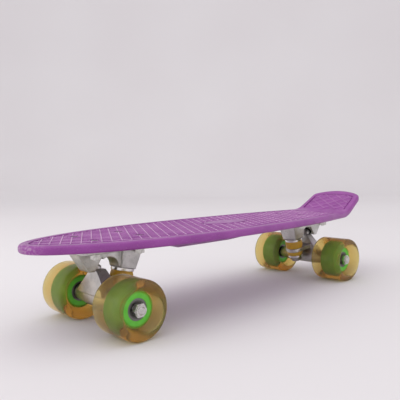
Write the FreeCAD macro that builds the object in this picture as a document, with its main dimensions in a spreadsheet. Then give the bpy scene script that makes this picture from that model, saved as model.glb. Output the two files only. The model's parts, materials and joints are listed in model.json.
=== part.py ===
import FreeCAD, Part
import math
import os
import re
import Sketcher

# A small moulded-plastic cruiser skateboard.  Millimetres, +X to the nose, +Y to the left side
# of the board, +Z up.  The origin is on the ground, midway along and across the board.

doc = FreeCAD.newDocument("skateboard")
sheet = doc.addObject("Spreadsheet::Sheet", "Sizes")

SIZES = (
    # whole board
    ("deck_length", 541.5), ("deck_centre", -6.25), ("deck_width", 150), ("wheelbase", 360),
    ("wheel_track", 108), ("truck_height", 56),
    # deck
    ("rim_height", 9), ("rim_width", 9.5), ("plate_thickness", 5), ("field_depth", 1),
    ("kick_reach", 63), ("kick_angle", 30), ("kick_bend", 40), ("tail_width", 98),
    ("tail_corner", 17), ("rib_width", 2.4), ("rib_pitch", 27), ("pad_margin", 3),
    ("belly_width", 104), ("belly_depth", 7.5), ("belly_slope", 12), ("belly_flat", 80),
    ("belly_front_gap", 6), ("belly_rear_gap", 84),
    ("plaque_length", 70), ("plaque_width", 34), ("plaque_centre", -8),
    # wheels
    ("wheel_radius", 30), ("wheel_width", 45), ("wheel_lip", 5), ("face_radius", 24),
    ("face_lip", 1.6), ("core_radius", 20), ("core_face", 16), ("core_width", 25),
    ("core_rim", 21), ("core_web", 9.6),
    # ball bearings
    ("bearing_outside", 11), ("bearing_bore", 4), ("bearing_width", 7), ("bearing_gap", 10),
    ("outer_ring_shoulder", 8.9), ("inner_ring_shoulder", 6.1), ("ball_circle", 7.5),
    ("ball_radius", 1.98), ("ball_clearance", 0.06), ("cage_wall", 1.3), ("cage_width", 4.8),
    ("shield_bore", 6.45), ("shield_thickness", 0.35), ("shield_inset", 0.2),
    # axle and its fasteners
    ("axle_end", 1.2), ("washer_thickness", 1), ("washer_radius", 5.9), ("axle_nut_flats", 12.7),
    ("axle_nut_height", 6.4), ("axle_nut_collar", 1.6), ("collar_step", 0.6),
    ("axle_chamfer", 0.8), ("spacer_wall", 1.5),
    # hanger
    ("kingpin_offset", 28.5), ("pivot_offset", 11.5), ("pivot_height", 38), ("ring_bottom", 9),
    ("ring_thickness", 5.2), ("ring_radius", 13), ("ring_bore", 6.6), ("housing_radius", 10.4),
    ("housing_end", 8.2), ("housing_middle", 17), ("fin_bottom", 4.5), ("fin_top", 31),
    ("fin_spread", 31), ("fin_tip", 6.5), ("fin_back", 3.6), ("fin_depth", 11.4),
    ("arm_reach", 24), ("arm_half_width", 17), ("nose_radius", 4.2),
    # pivot cup
    ("cup_clearance", 0.08), ("cup_wall", 1.6), ("cup_mouth", 5.2),
    # baseplate
    ("flange_length", 86), ("flange_width", 54), ("flange_thickness", 5.5),
    ("flange_corner", 8), ("boss_bottom", 28), ("boss_half_length", 9.5),
    ("boss_half_width", 11.5), ("boss_draft", 3.4), ("boss_lean", 4.8), ("arch_radius", 12),
    ("arch_offset", 5.5), ("web_foot", 31.5), ("web_end", 4), ("mouth_back", 9.2),
    ("mouth_front", 0.2), ("mouth_height", 6), ("pivot_drop", 8), ("pivot_foot", 6.5),
    ("pivot_spread", 20), ("pivot_half_width", 9.5),
    # kingpin stack
    ("kingpin_rake", 12), ("kingpin_radius", 4.75), ("kingpin_clearance", 0.1),
    ("kingpin_flats", 14.2), ("kingpin_head", 6.3), ("head_recess", 10.4),
    ("head_clearance", 0.4),
    ("cup_washer_radius", 13), ("cup_washer_thickness", 1.5), ("cup_washer_lip", 1.3),
    ("cup_washer_edge", 1.1), ("bushing_radius", 11.7), ("bushing_bulge", 0.9),
    ("lower_bushing_height", 7), ("lower_bushing_radius", 10), ("kingpin_nut_height", 6),
    ("kingpin_end", 1.5),
    # deck bolts
    ("bolt_spacing_along", 54), ("bolt_spacing_across", 41.3), ("bolt_centre", 10),
    ("bolt_radius", 2.4), ("bolt_clearance", 0.2), ("bolt_head_radius", 4.6),
    ("bolt_head_height", 2.4), ("bolt_recess_width", 1), ("bolt_recess_depth", 1.3),
    ("deck_nut_flats", 9.5), ("deck_nut_height", 5), ("bolt_end", 1),
)

for row, (alias, value) in enumerate(SIZES, 1):
    sheet.set("A%d" % row, alias)
    sheet.set("B%d" % row, str(value))
    sheet.setAlias("B%d" % row, alias)
doc.recompute()

ALIASES = {alias for alias, value in SIZES}
BALLS = 7
ENDS = (("front", 1), ("rear", -1))
SIDES = (("left", 1), ("right", -1))


def size(words):
    """The value of an expression in the sheet's words."""
    return float(sheet.evalExpression(linked(words)))


def linked(words):
    """The same expression with each size pointed at its cell."""
    def point(match):
        word = match.group()
        return "Sizes." + word if word in ALIASES else word
    return re.sub(r"[a-z_]+", point, words)


def bind(thing, **properties):
    """Ties properties of an object to expressions of the sheet's sizes."""
    for name, words in properties.items():
        thing.setExpression(name, linked(words))
    return thing


def upright(x="0", y="0", z="0"):
    return FreeCAD.Placement(FreeCAD.Vector(size(x), size(y), size(z)), FreeCAD.Rotation())


def turned_by(axis, angle):
    return FreeCAD.Placement(FreeCAD.Vector(), FreeCAD.Rotation(FreeCAD.Vector(*axis), angle))


# ---------------------------------------------------------------- ways of making a piece

def new_body(label):
    body = doc.addObject("PartDesign::Body", label)
    body.Label = label
    return body


def new_sketch(body, role, offset="0"):
    sketch = body.newObject("Sketcher::SketchObject", body.Label + "_sketch")
    origin_plane = next(part for part in body.Origin.OriginFeatures if part.Role == role)
    sketch.AttachmentSupport = [(origin_plane, "")]
    sketch.MapMode = "FlatFace"
    sketch.setExpression("AttachmentOffset.Base.z", linked(offset))
    return sketch


def pin_point(sketch, geometry, end, x, y):
    """Holds one point of a sketch at a pair of expressions."""
    for kind, words in (("DistanceX", x), ("DistanceY", y)):
        sketch.addConstraint(Sketcher.Constraint(kind, geometry, end, size(words)))
        sketch.setExpression("Constraints[%d]" % (sketch.ConstraintCount - 1), linked(words))


def draw_outline(sketch, corners):
    """A closed outline of straight lines; each corner is a pair of expressions."""
    first = sketch.GeometryCount
    points = [FreeCAD.Vector(size(x), size(y), 0) for x, y in corners]
    count = len(points)
    for index in range(count):
        sketch.addGeometry(Part.LineSegment(points[index], points[(index + 1) % count]), False)
    for index in range(count):
        following = first + (index + 1) % count
        sketch.addConstraint(Sketcher.Constraint("Coincident", first + index, 2, following, 1))
    for index, (x, y) in enumerate(corners):
        pin_point(sketch, first + index, 1, x, y)
    return sketch


def draw_circle(sketch, x, y, radius):
    circle = Part.Circle(FreeCAD.Vector(size(x), size(y), 0), FreeCAD.Vector(0, 0, 1), size(radius))
    geometry = sketch.addGeometry(circle, False)
    pin_point(sketch, geometry, 3, x, y)
    sketch.addConstraint(Sketcher.Constraint("Radius", geometry, size(radius)))
    sketch.setExpression("Constraints[%d]" % (sketch.ConstraintCount - 1), linked(radius))
    return sketch


def rectangle(x_low, x_high, y_low, y_high):
    return ((x_low, y_low), (x_high, y_low), (x_high, y_high), (x_low, y_high))


def pad(body, sketch, length, both_ways=False):
    feature = body.newObject("PartDesign::Pad", body.Label + "_pad")
    feature.Profile = sketch
    feature.Midplane = both_ways
    bind(feature, Length=length)
    body.Tip = feature
    return feature


def pocket(body, sketch, length=None):
    """Cuts downwards by a length, or right through both ways."""
    feature = body.newObject("PartDesign::Pocket", body.Label + "_pocket")
    feature.Profile = sketch
    if length is None:
        feature.Type = "ThroughAll"
        feature.Midplane = True
    else:
        bind(feature, Length=length)
    body.Tip = feature
    return feature


def loft(body, *sketches):
    feature = body.newObject("PartDesign::AdditiveLoft", body.Label + "_loft")
    feature.Profile = sketches[0]
    feature.Sections = list(sketches[1:])
    feature.Ruled = True
    body.Tip = feature
    return feature


def turned(label, *corners):
    """A piece turned about its own Z axis; corners are radius and height."""
    body = new_body(label)
    sketch = draw_outline(new_sketch(body, "XZ_Plane"), corners)
    feature = body.newObject("PartDesign::Revolution", label + "_turn")
    feature.Profile = sketch
    feature.ReferenceAxis = (sketch, ["V_Axis"])
    feature.Angle = 360
    body.Tip = feature
    return body


def ring(label, inside, outside, low, high):
    return turned(label, *rectangle(inside, outside, low, high))


def rounded_edges(body, radius, wanted):
    """Rounds the edges of the body so far for which wanted(edge) is true."""
    doc.recompute()
    base = body.Tip
    names = ["Edge%d" % (number + 1) for number, edge in enumerate(base.Shape.Edges) if wanted(edge)]
    feature = body.newObject("PartDesign::Fillet", body.Label + "_fillet")
    feature.Base = (base, names)
    bind(feature, Radius=radius)
    body.Tip = feature
    return feature


def cylinder(label, radius, height, placement):
    solid = bind(doc.addObject("Part::Cylinder", label), Radius=radius, Height=height)
    solid.Placement = placement
    return solid


def hexagon(label, flats, height, placement):
    solid = doc.addObject("Part::Prism", label)
    solid.Polygon = 6
    bind(solid, Circumradius=flats + " / sqrt(3)", Height=height)
    solid.Placement = placement
    return solid


def cut(label, base, tool):
    result = doc.addObject("Part::Cut", label)
    result.Base = base
    result.Tool = tool
    return result


def fused(label, members):
    result = doc.addObject("Part::MultiFuse", label)
    result.Shapes = members
    return result


def group(label, members):
    """Like pieces that stay separate solids and share one node."""
    result = doc.addObject("Part::Compound", label)
    result.Links = members
    return result


nodes = []


def finished(label, piece, placement=None):
    """Names a finished sub-part and puts it in its place on the board."""
    piece.Label = label
    if placement is not None:
        piece.Placement = placement
    nodes.append(piece)


def truck_place(end):
    """A truck's frame: on the axle line, X outwards to its own end of the board."""
    frame = upright("wheelbase / 2 * %d" % end, "0", "wheel_radius")
    return frame * turned_by((0, 0, 1), 0 if end > 0 else 180)


def wheel_place(end, side):
    """A wheel's frame: in the middle of the wheel, Z outwards along the axle."""
    frame = upright("wheelbase / 2 * %d" % end, "wheel_track / 2 * %d" % side, "wheel_radius")
    return frame * turned_by((1, 0, 0), -90 * side)


# ---------------------------------------------------------------- deck

# Stations along the side of the deck, as shares of half the length and half the width.
SIDE_STATIONS = ((-0.54, 0.81), (-0.2, 0.945), (0.18, 1.0), (0.46, 0.945), (0.69, 0.79),
                 (0.87, 0.54))
OFFSET_STATIONS = 14
TAIL_END = "(deck_centre - deck_length / 2)"
NOSE_END = "(deck_centre + deck_length / 2)"
UNDERSIDE = "(wheel_radius + truck_height)"
DECK_TOP = "(wheel_radius + truck_height + rim_height)"
# The inner end of each truck's pad, from the middle of the board, and its outer end.
PAD_IN = "(wheelbase / 2 - bolt_centre - flange_length / 2 - pad_margin)"
PAD_OUT = "(wheelbase / 2 - bolt_centre + flange_length / 2 + pad_margin)"


def smooth_curve(points, start, finish):
    curve = Part.BSplineCurve()
    curve.interpolate(Points=points, InitialTangent=start, FinalTangent=finish)
    return curve


def tangent_at(curve, share):
    first, last = curve.FirstParameter, curve.LastParameter
    return curve.tangent(first + (last - first) * share)[0]


def drawn_in(curve, margin):
    """The same curve moved to its right-hand side by a margin."""
    first, last = curve.FirstParameter, curve.LastParameter
    points = []
    for number in range(OFFSET_STATIONS):
        share = number / (OFFSET_STATIONS - 1)
        heading = tangent_at(curve, share)
        inward = FreeCAD.Vector(heading.y, -heading.x, 0)
        points.append(curve.value(first + (last - first) * share) + inward * margin)
    return smooth_curve(points, tangent_at(curve, 0), tangent_at(curve, 1))


def deck_plan(margin):
    """The deck's outline seen from above as a wire at ground level.  Drawn in by a margin, it
    runs straight across the tail."""
    centre = size("deck_centre")
    half_length = size("deck_length / 2")
    half_width = size("deck_width / 2")
    end = size(TAIL_END)
    tail_half = size("tail_width / 2")
    corner = size("tail_corner")
    corner_start = FreeCAD.Vector(end + corner * 0.8, tail_half - corner * 0.36, 0)
    corner_turn = FreeCAD.Vector(end + corner * 0.42, tail_half - corner * 0.75, 0)
    corner_end = FreeCAD.Vector(end + corner * 0.2, tail_half - corner * 1.4, 0)
    stations = [corner_start, FreeCAD.Vector(end + size("kick_reach"), tail_half, 0)]
    stations += [FreeCAD.Vector(centre + along * half_length, across * half_width, 0)
                 for along, across in SIDE_STATIONS]
    stations += [FreeCAD.Vector(size(NOSE_END), 0, 0)]
    side = smooth_curve(stations, FreeCAD.Vector(1, 0.1, 0), FreeCAD.Vector(0, -1, 0))
    middle = FreeCAD.Vector(end, 0, 0)
    opposite = FreeCAD.Vector(corner_end.x, -corner_end.y, 0)
    tail_end = Part.Arc(opposite, middle, corner_end)
    turn = smooth_curve([corner_end, corner_turn, corner_start], tangent_at(tail_end, 1),
                        tangent_at(side, 0))
    half = [turn, side]
    if margin:
        half = [drawn_in(side, margin)]
        inner = half[0].StartPoint
        tail_end = Part.LineSegment(FreeCAD.Vector(inner.x, -inner.y, 0), inner)
    half = [curve.toShape() for curve in half]
    mirror = [edge.mirror(FreeCAD.Vector(), FreeCAD.Vector(0, 1, 0)) for edge in half]
    return Part.Wire(Part.__sortEdges__(half + mirror + [tail_end.toShape()]))


def deck_slab(lift, thickness):
    """The deck's side view at a height above its underside, drawn right across the board."""
    low = size(UNDERSIDE) + lift
    bend = size(TAIL_END + " + kick_reach")
    angle = math.radians(size("kick_angle"))
    inner = size("kick_bend + rim_height") - lift - thickness
    centre = FreeCAD.Vector(bend, 0, low + thickness + inner)

    def spoke(radius, share):
        turn = angle * share
        return centre + FreeCAD.Vector(-radius * math.sin(turn), 0, -radius * math.cos(turn))

    run = size("kick_reach")
    slope = FreeCAD.Vector(-math.cos(angle), 0, math.sin(angle)) * run * 1.5
    outer = inner + thickness
    nose = FreeCAD.Vector(size(NOSE_END) + 1, 0, low)
    up = FreeCAD.Vector(0, 0, thickness)
    edges = (
        Part.LineSegment(nose, spoke(outer, 0)),
        Part.Arc(spoke(outer, 0), spoke(outer, 0.5), spoke(outer, 1)),
        Part.LineSegment(spoke(outer, 1), spoke(outer, 1) + slope),
        Part.LineSegment(spoke(outer, 1) + slope, spoke(inner, 1) + slope),
        Part.LineSegment(spoke(inner, 1) + slope, spoke(inner, 1)),
        Part.Arc(spoke(inner, 1), spoke(inner, 0.5), spoke(inner, 0)),
        Part.LineSegment(spoke(inner, 0), nose + up),
        Part.LineSegment(nose + up, nose),
    )
    face = Part.Face(Part.Wire([edge.toShape() for edge in edges]))
    face.translate(FreeCAD.Vector(0, -size("deck_width"), 0))
    return face.extrude(FreeCAD.Vector(0, size("deck_width * 2"), 0))


def plan_prism(wire, low, high):
    face = Part.Face(wire)
    face.translate(FreeCAD.Vector(0, 0, low))
    return face.extrude(FreeCAD.Vector(0, 0, high - low))


def box(x_low, x_high, y_half, z_low, z_high):
    corner = FreeCAD.Vector(x_low, -y_half, z_low)
    return Part.makeBox(x_high - x_low, 2 * y_half, z_high - z_low, corner)


def belly_block(inset, top, cut_off):
    """The shallow hull under the deck, drawn in by an inset.  It is deepest near its front end
    and rises in one long slope to its rear end, or is cut off square there."""
    underside = size(UNDERSIDE)
    front = size(PAD_IN + " - belly_front_gap") - inset
    rear = size("belly_rear_gap - " + PAD_IN) + inset
    half_width = size("belly_width / 2") - inset
    slope = size("belly_slope")

    def level(height, first, last, half):
        corners = [FreeCAD.Vector(x, y, height)
                   for x, y in ((first, -half), (last, -half), (last, half), (first, half))]
        return Part.makePolygon(corners + corners[:1])

    flat_end = rear if cut_off else front - slope - size("belly_flat")
    foot = level(underside - size("belly_depth"), flat_end, front - slope, half_width - slope)
    levels = [level(top, rear, front, half_width), level(underside, rear, front, half_width), foot]
    return Part.makeLoft(levels, True, True)


def rib_cells(low, high):
    """The boxes between the ribs, clear of the pads that the trucks are bolted to."""
    rib = size("rib_width")
    quarter = size("deck_width / 4")
    cells = []
    for start, stop in ((TAIL_END, "-" + PAD_OUT), ("-" + PAD_IN, PAD_IN), (PAD_OUT, NOSE_END)):
        start, stop = size(start), size(stop)
        count = max(1, round((stop - start) / size("rib_pitch")))
        step = (stop - start) / count
        for index in range(count):
            left = start + index * step + rib / 2
            for near, far in ((rib / 2, quarter), (quarter + rib, quarter * 3)):
                for side in (1, -1):
                    corner = FreeCAD.Vector(left, min(side * near, side * far), low)
                    cells.append(Part.makeBox(step - rib, far - near, high - low, corner))
    return cells


def hollowed(shape, cells, inside):
    """Cuts each cell out of the shape as far as it lies inside a limit."""
    pockets = [cell.common(inside) for cell in cells]
    return shape.cut([pocket for pocket in pockets if pocket.Volume > 50])


def bolt_places(end):
    """Where the four bolts of one truck stand."""
    centre = end * size("wheelbase / 2 - bolt_centre")
    return [FreeCAD.Vector(centre + x * size("bolt_spacing_along / 2"),
                           y * size("bolt_spacing_across / 2"), 0)
            for x in (1, -1) for y in (1, -1)]


def deck_shape():
    underside = size(UNDERSIDE)
    top = size(DECK_TOP)
    field = top - size("field_depth")
    plate = top - size("plate_thickness")
    ribs = size("rim_height - plate_thickness")
    shape = deck_slab(0, size("rim_height")).common(plan_prism(deck_plan(0), 0, top * 2))
    inside = deck_slab(-1, ribs + 1).common(plan_prism(deck_plan(size("rim_width")), 0, top * 2))
    shape = hollowed(shape, rib_cells(underside - 1, top * 2), inside)
    foot = underside - size("belly_depth")
    core = belly_block(size("rib_width"), plate, True)
    shape = shape.fuse(hollowed(belly_block(0, plate, False), rib_cells(foot - 1, plate), core))
    recess = plan_prism(deck_plan(size("rim_width")), field, top + 1)
    flat = box(size(TAIL_END + " + kick_reach + rim_width"), size("deck_length"),
               size("deck_width"), 0, top + 2)
    plaque = Part.Ellipse(FreeCAD.Vector(size("plaque_centre"), 0, 0),
                          size("plaque_length / 2"), size("plaque_width / 2"))
    plaque = plan_prism(Part.Wire(plaque.toShape()), 0, top + 2)
    shape = shape.cut(recess.common(flat).cut(plaque))
    up = FreeCAD.Vector(0, 0, 1)
    hole = size("bolt_radius + bolt_clearance")
    seat = size("bolt_head_radius") + hole - size("bolt_radius")
    depth = size("bolt_head_height")
    for name, end in ENDS:
        for place in bolt_places(end):
            start = FreeCAD.Vector(place.x, place.y, field - depth)
            bore = Part.makeCylinder(hole, top, place, up)
            sink = Part.makeCone(hole, seat, depth, start, up)
            shape = shape.cut([bore, sink])
    return shape.removeSplitter()


deck = doc.addObject("Part::Feature", "deck")
deck.Shape = deck_shape()
finished("deck", deck, FreeCAD.Placement())

# ---------------------------------------------------------------- deck bolts and nuts

for end_name, end in ENDS:
    bolts = []
    nuts = []
    for number, place in enumerate(bolt_places(end)):
        spot = FreeCAD.Placement(place, FreeCAD.Rotation())
        nut_top = "wheel_radius + truck_height - flange_thickness"
        top = DECK_TOP + " - field_depth"
        tip = nut_top + " - deck_nut_height - bolt_end"
        name = "%s_bolt_%d" % (end_name, number)
        bolt = turned(name, ("0", tip), ("bolt_radius", tip),
                      ("bolt_radius", top + " - bolt_head_height"),
                      ("bolt_head_radius", top), ("0", top))
        for turn in ("bolt_head_radius * 1.1", "bolt_recess_width"), ("bolt_recess_width",
                                                                     "bolt_head_radius * 1.1"):
            cross = draw_outline(new_sketch(bolt, "XY_Plane", top),
                                 rectangle("-%s / 2" % turn[0], "%s / 2" % turn[0],
                                           "-%s / 2" % turn[1], "%s / 2" % turn[1]))
            pocket(bolt, cross, "bolt_recess_depth")
        bolt.Placement = spot
        bolts.append(bolt)
        foot = upright(z=nut_top + " - deck_nut_height")
        blank = hexagon(name + "_nut_blank", "deck_nut_flats", "deck_nut_height", foot)
        bore = cylinder(name + "_nut_bore", "bolt_radius", "deck_nut_height", foot)
        nut = cut(name + "_nut", blank, bore)
        nut.Placement = spot
        nuts.append(nut)
    finished(end_name + "_deck_bolts", group(end_name + "_deck_bolts", bolts))
    finished(end_name + "_deck_nuts", group(end_name + "_deck_nuts", nuts))

# ---------------------------------------------------------------- trucks

RING_MIDDLE = "(ring_bottom + ring_thickness / 2)"
# The kingpin leans back from the axle, turned about the middle of the boss's lower face; a
# piece on it is made with its own Z up the kingpin and its zero at the height of the axle.
boss_face = upright("-kingpin_offset", "0", "boss_bottom") * turned_by((0, 1, 0),
                                                                      -size("kingpin_rake"))
kingpin_line = boss_face * upright(z="-boss_bottom")
# The steering axis runs from the middle of the hanger's ring up to the pivot; a piece on it
# is made with its own Z pointing up that axis and its zero at the pivot.
steering = upright("pivot_offset", "0", "pivot_height")
ring_to_pivot = steering.Base - (kingpin_line * upright(z=RING_MIDDLE)).Base
steering = steering * turned_by((0, 1, 0), math.degrees(math.atan2(ring_to_pivot.x,
                                                                   ring_to_pivot.z)))
FLANGE_FOOT = "truck_height - flange_thickness"


def upright_edge(edge):
    return edge.BoundBox.XLength < 0.01 and edge.BoundBox.YLength < 0.01


def make_baseplate(name):
    body = new_body(name + "_casting")
    flange = new_sketch(body, "XY_Plane", FLANGE_FOOT)
    draw_outline(flange, rectangle("-bolt_centre - flange_length / 2",
                                   "-bolt_centre + flange_length / 2",
                                   "-flange_width / 2", "flange_width / 2"))
    pad(body, flange, "flange_thickness")
    rounded_edges(body, "flange_corner", upright_edge)
    lean = "-kingpin_offset - boss_lean"
    boss_top = draw_outline(new_sketch(body, "XY_Plane", FLANGE_FOOT),
                            rectangle(lean + " - boss_half_length - boss_draft",
                                      lean + " + boss_half_length + boss_draft",
                                      "-boss_half_width - boss_draft",
                                      "boss_half_width + boss_draft"))
    boss_foot = draw_outline(new_sketch(body, "XY_Plane", "boss_bottom"),
                             rectangle("-boss_half_length", "boss_half_length",
                                       "-boss_half_width", "boss_half_width"))
    boss_foot.AttachmentOffset = boss_face
    loft(body, boss_top, boss_foot)
    web = draw_outline(new_sketch(body, "XZ_Plane"), (
        ("-kingpin_offset", FLANGE_FOOT), ("-kingpin_offset", "web_foot"),
        ("-web_end", "web_foot"), ("pivot_offset - mouth_back", "pivot_height + mouth_height"),
        ("pivot_offset - mouth_front", "pivot_height - pivot_drop"),
        ("pivot_offset + pivot_foot", "pivot_height - pivot_drop"),
        ("pivot_offset + pivot_spread", FLANGE_FOOT)))
    pad(body, web, "pivot_half_width * 2", both_ways=True)
    pocket(body, draw_circle(new_sketch(body, "XZ_Plane"), "-arch_offset", "web_foot",
                             "arch_radius"))
    holes = new_sketch(body, "XY_Plane")
    for x in ("-bolt_centre - bolt_spacing_along / 2", "-bolt_centre + bolt_spacing_along / 2"):
        for y in ("-bolt_spacing_across / 2", "bolt_spacing_across / 2"):
            draw_circle(holes, x, y, "bolt_radius + bolt_clearance")
    pocket(body, holes)
    seat = cylinder(name + "_cup_seat", "nose_radius + cup_clearance + cup_wall",
                    "cup_mouth + nose_radius + cup_clearance + cup_wall",
                    steering * upright(z="-cup_mouth"))
    shank = cylinder(name + "_shank_bore", "kingpin_radius + kingpin_clearance", "truck_height",
                     kingpin_line)
    head = cylinder(name + "_head_recess", "kingpin_flats / sqrt(3) + head_clearance",
                    "truck_height", kingpin_line * upright(z="truck_height - head_recess"))
    return cut(name, body, fused(name + "_bores", [seat, shank, head]))


def make_pivot_cup(name):
    """A rubber cup that lines the baseplate's pivot socket."""
    outside = "nose_radius + cup_clearance + cup_wall"
    blank = cylinder(name + "_blank", outside, "cup_mouth + " + outside,
                     upright(z="-cup_mouth"))
    hollow = cylinder(name + "_hollow", "nose_radius + cup_clearance", "cup_mouth",
                      upright(z="-cup_mouth"))
    dome = bind(doc.addObject("Part::Sphere", name + "_dome"),
                Radius="nose_radius + cup_clearance")
    return cut(name, blank, fused(name + "_inside", [hollow, dome]))


def make_hanger(name):
    fin = new_body(name + "_fin")
    loft(fin,
         draw_outline(new_sketch(fin, "XY_Plane", "fin_bottom"),
                      rectangle("-housing_radius + 0.5", "housing_radius + 1.5",
                                "-fin_spread", "fin_spread")),
         draw_outline(new_sketch(fin, "XY_Plane", "fin_top"),
                      rectangle("pivot_offset - fin_back - fin_depth", "pivot_offset - fin_back",
                                "-fin_tip", "fin_tip")))
    arm = new_body(name + "_arm")
    pad(arm, draw_outline(new_sketch(arm, "XY_Plane", "ring_bottom"), (
        ("0", "-ring_radius"), ("arm_reach", "-arm_half_width"),
        ("arm_reach", "arm_half_width"), ("0", "ring_radius"))), "ring_thickness")
    pad(arm, draw_circle(new_sketch(arm, "XY_Plane", "ring_bottom"), "0", "0", "ring_radius"),
        "ring_thickness")
    arm.Placement = kingpin_line
    end = "wheel_track / 2 - bearing_gap / 2 - bearing_width - washer_thickness"
    housing = turned(name + "_housing", ("0", "-(%s)" % end), ("housing_end", "-(%s)" % end),
                     ("housing_radius", "-housing_middle"), ("housing_radius", "housing_middle"),
                     ("housing_end", end), ("0", end))
    housing.Placement = turned_by((1, 0, 0), 90)
    stalk = cylinder(name + "_stalk", "nose_radius", "nose_radius * 3",
                     steering * upright(z="-nose_radius * 3"))
    tip = bind(doc.addObject("Part::Sphere", name + "_tip"), Radius="nose_radius")
    tip.Placement = steering
    casting = fused(name + "_casting", [fin, arm, housing, stalk, tip])
    bore = cylinder(name + "_ring_bore", "ring_bore", "ring_thickness * 3",
                    kingpin_line * upright(z="ring_bottom - ring_thickness"))
    axle_bore = cylinder(name + "_axle_bore", "bearing_bore", "wheel_track",
                         turned_by((1, 0, 0), 90) * upright(z="-wheel_track / 2"))
    return cut(name, casting, fused(name + "_bores", [bore, axle_bore]))


def make_kingpin(name):
    """Hexagon-headed bolt let into the top of the baseplate."""
    low = "ring_bottom - lower_bushing_height - cup_washer_thickness - kingpin_nut_height"
    low += " - kingpin_end"
    seat = "truck_height - head_recess"
    foot = upright(z=low)
    shank = cylinder(name + "_shank", "kingpin_radius", "%s - (%s)" % (seat, low), foot)
    head = hexagon(name + "_head", "kingpin_flats", "kingpin_head", upright(z=seat))
    return fused(name, [shank, head])


def make_kingpin_nut(name):
    low = "ring_bottom - lower_bushing_height - cup_washer_thickness - kingpin_nut_height"
    blank = hexagon(name + "_blank", "kingpin_flats", "kingpin_nut_height", upright(z=low))
    bore = cylinder(name + "_bore", "kingpin_radius", "kingpin_nut_height", upright(z=low))
    return cut(name, blank, bore)


def make_upper_cup_washer(name):
    """A pressed cup with its lip turned down over the top of the bushing."""
    hole = "kingpin_radius + kingpin_clearance"
    floor = "boss_bottom - cup_washer_thickness"
    lip = floor + " - cup_washer_lip"
    wall = "cup_washer_radius - cup_washer_edge"
    return turned(name, (hole, floor), (wall, floor), (wall, lip), ("cup_washer_radius", lip),
                  ("cup_washer_radius", "boss_bottom"), (hole, "boss_bottom"))


def make_lower_cup_washer(name):
    """The matching cup under the lower bushing, with its lip turned up."""
    hole = "kingpin_radius + kingpin_clearance"
    floor = "ring_bottom - lower_bushing_height"
    under = floor + " - cup_washer_thickness"
    lip = floor + " + cup_washer_lip"
    wall = "lower_bushing_radius + 0.1"
    edge = wall + " + cup_washer_edge"
    return turned(name, (hole, under), (edge, under), (edge, lip), (wall, lip), (wall, floor),
                  (hole, floor))


def make_upper_bushing(name):
    """A urethane barrel between the upper washer and the hanger's ring."""
    hole = "kingpin_radius + kingpin_clearance"
    low = "ring_bottom + ring_thickness"
    high = "boss_bottom - cup_washer_thickness"
    middle = "(%s + %s) / 2" % (low, high)
    return turned(name, (hole, low), ("bushing_radius", low),
                  ("bushing_radius + bushing_bulge", middle + " - 2"),
                  ("bushing_radius + bushing_bulge", middle + " + 1"),
                  ("bushing_radius", high + " - cup_washer_lip"), ("bushing_radius", high),
                  (hole, high))


def make_lower_bushing(name):
    """A shorter urethane cone below the ring."""
    hole = "kingpin_radius + kingpin_clearance"
    low = "ring_bottom - lower_bushing_height"
    return turned(name, (hole, low), ("lower_bushing_radius", low),
                  ("lower_bushing_radius", low + " + cup_washer_lip"),
                  ("bushing_radius", "ring_bottom - 1.5"), ("bushing_radius", "ring_bottom"),
                  (hole, "ring_bottom"))


def make_axle(name):
    reach = "wheel_track / 2 + bearing_gap / 2 + bearing_width + washer_thickness"
    reach += " + axle_nut_height + axle_end"
    tip = "bearing_bore - axle_chamfer"
    return turned(name, ("0", "-(%s)" % reach), (tip, "-(%s)" % reach),
                  ("bearing_bore", "-(%s) + axle_chamfer" % reach),
                  ("bearing_bore", reach + " - axle_chamfer"), (tip, reach), ("0", reach))


for end_name, end in ENDS:
    place = truck_place(end)
    crosswise = place * turned_by((1, 0, 0), 90)
    for piece, make, spot in (
            ("baseplate", make_baseplate, place),
            ("pivot_cup", make_pivot_cup, place * steering),
            ("hanger", make_hanger, place),
            ("kingpin", make_kingpin, place * kingpin_line),
            ("kingpin_nut", make_kingpin_nut, place * kingpin_line),
            ("upper_cup_washer", make_upper_cup_washer, place * kingpin_line),
            ("lower_cup_washer", make_lower_cup_washer, place * kingpin_line),
            ("upper_bushing", make_upper_bushing, place * kingpin_line),
            ("lower_bushing", make_lower_bushing, place * kingpin_line),
            ("axle", make_axle, crosswise)):
        label = "%s_%s" % (end_name, piece)
        finished(label, make(label), spot)

# ---------------------------------------------------------------- wheels and bearings

CORE_HALF = "core_width / 2"
RIM_HALF = "core_rim / 2"
WHEEL_HALF = "wheel_width / 2"
BEARING_IN = "bearing_gap / 2"
BEARING_OUT = "bearing_gap / 2 + bearing_width"
BEARING_MIDDLE = "(bearing_gap + bearing_width) / 2"


def make_tyre(name):
    """Urethane cast round the core, dished to the bearing on both faces."""
    tyre = turned(name, ("core_face", CORE_HALF), ("core_radius", RIM_HALF),
                  ("core_radius", "-" + RIM_HALF), ("core_face", "-" + CORE_HALF),
                  ("face_radius", "-" + WHEEL_HALF), ("wheel_radius", "-" + WHEEL_HALF),
                  ("wheel_radius", WHEEL_HALF), ("face_radius", WHEEL_HALF))

    def rim_of(radius):
        def wanted(edge):
            box = edge.BoundBox
            at_face = abs(abs(box.Center.z) - size(WHEEL_HALF)) < 0.01 and box.ZLength < 0.01
            return at_face and abs(box.XLength / 2 - size(radius)) < 0.01
        return wanted

    rounded_edges(tyre, "wheel_lip", rim_of("wheel_radius"))
    rounded_edges(tyre, "face_lip", rim_of("face_radius"))
    return tyre


def make_core(name):
    """The moulded hub; a web keeps the two bearings apart."""
    seat = "bearing_outside"
    return turned(name, (seat, CORE_HALF), ("core_face", CORE_HALF), ("core_radius", RIM_HALF),
                  ("core_radius", "-" + RIM_HALF), ("core_face", "-" + CORE_HALF),
                  (seat, "-" + CORE_HALF), (seat, "-" + BEARING_IN),
                  ("core_web", "-" + BEARING_IN), ("core_web", BEARING_IN),
                  (seat, BEARING_IN))


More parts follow.
